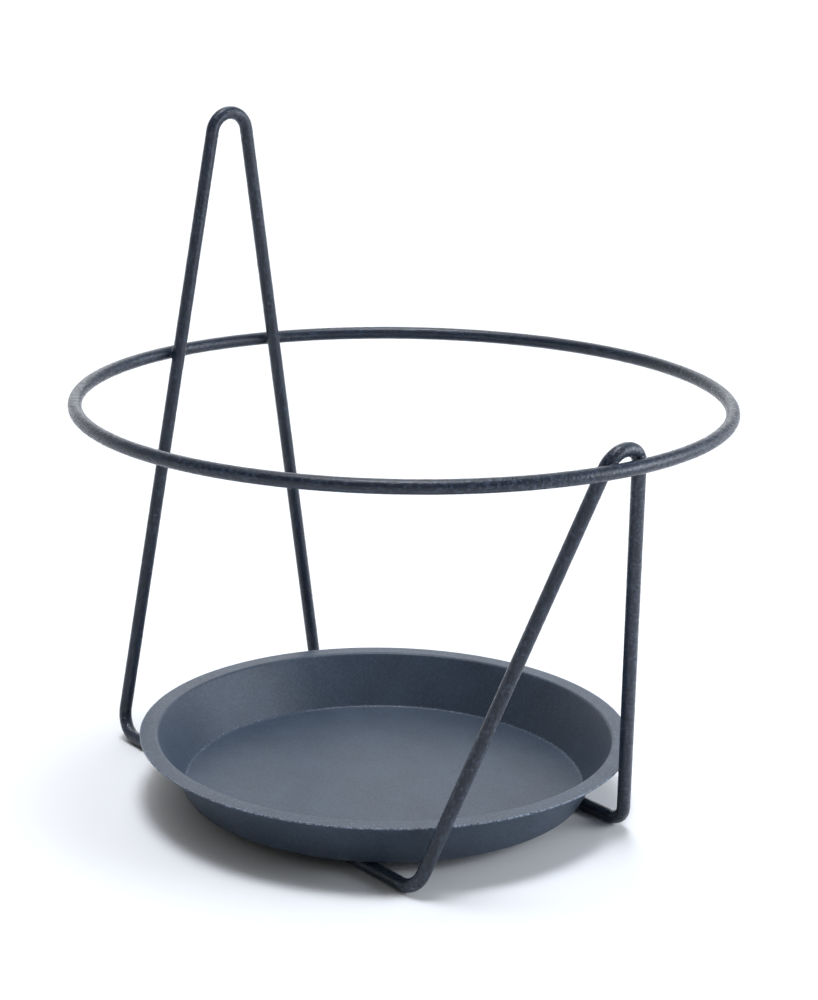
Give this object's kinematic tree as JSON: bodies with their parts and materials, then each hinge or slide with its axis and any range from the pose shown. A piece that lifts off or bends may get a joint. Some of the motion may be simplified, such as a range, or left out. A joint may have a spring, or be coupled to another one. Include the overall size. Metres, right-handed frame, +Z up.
{
  "type": "umbrella stand",
  "caption": "Open wire umbrella stand: a round rod hoop held by a tall and a low bent-rod loop, with a round flared drip tray resting loose on their base rails.",
  "frame": {"origin": "on the floor, under the middle of the hoop, which is the bottom centre of the bounding box", "axes": "+Z up; +Y from the middle towards the tall loop, -Y towards the low loop; X across, with the YZ plane as the mirror plane"},
  "size_m": [0.389, 0.389, 0.4042],
  "materials": {
    "frame_coat": "satin, fine-textured slate-grey powder coat",
    "tray_coat": "matt, fine-textured slate-grey powder coat"
  },
  "bodies": {
    "stand": {"hoop": "frame_coat", "tall_loop": "frame_coat", "low_loop": "frame_coat", "weld_hoop_tall_right": "frame_coat", "weld_hoop_tall_left": "frame_coat", "weld_hoop_low_right": "frame_coat", "weld_hoop_low_left": "frame_coat", "weld_rail_right": "frame_coat", "weld_rail_left": "frame_coat"},
    "tray": {"drip_tray": "tray_coat"}
  },
  "joints": [
    {"name": "tray_lift", "type": "slide", "parent": "stand", "child": "tray", "axis": [0, 0, 1], "range_m": [0, 0.41]}
  ]
}
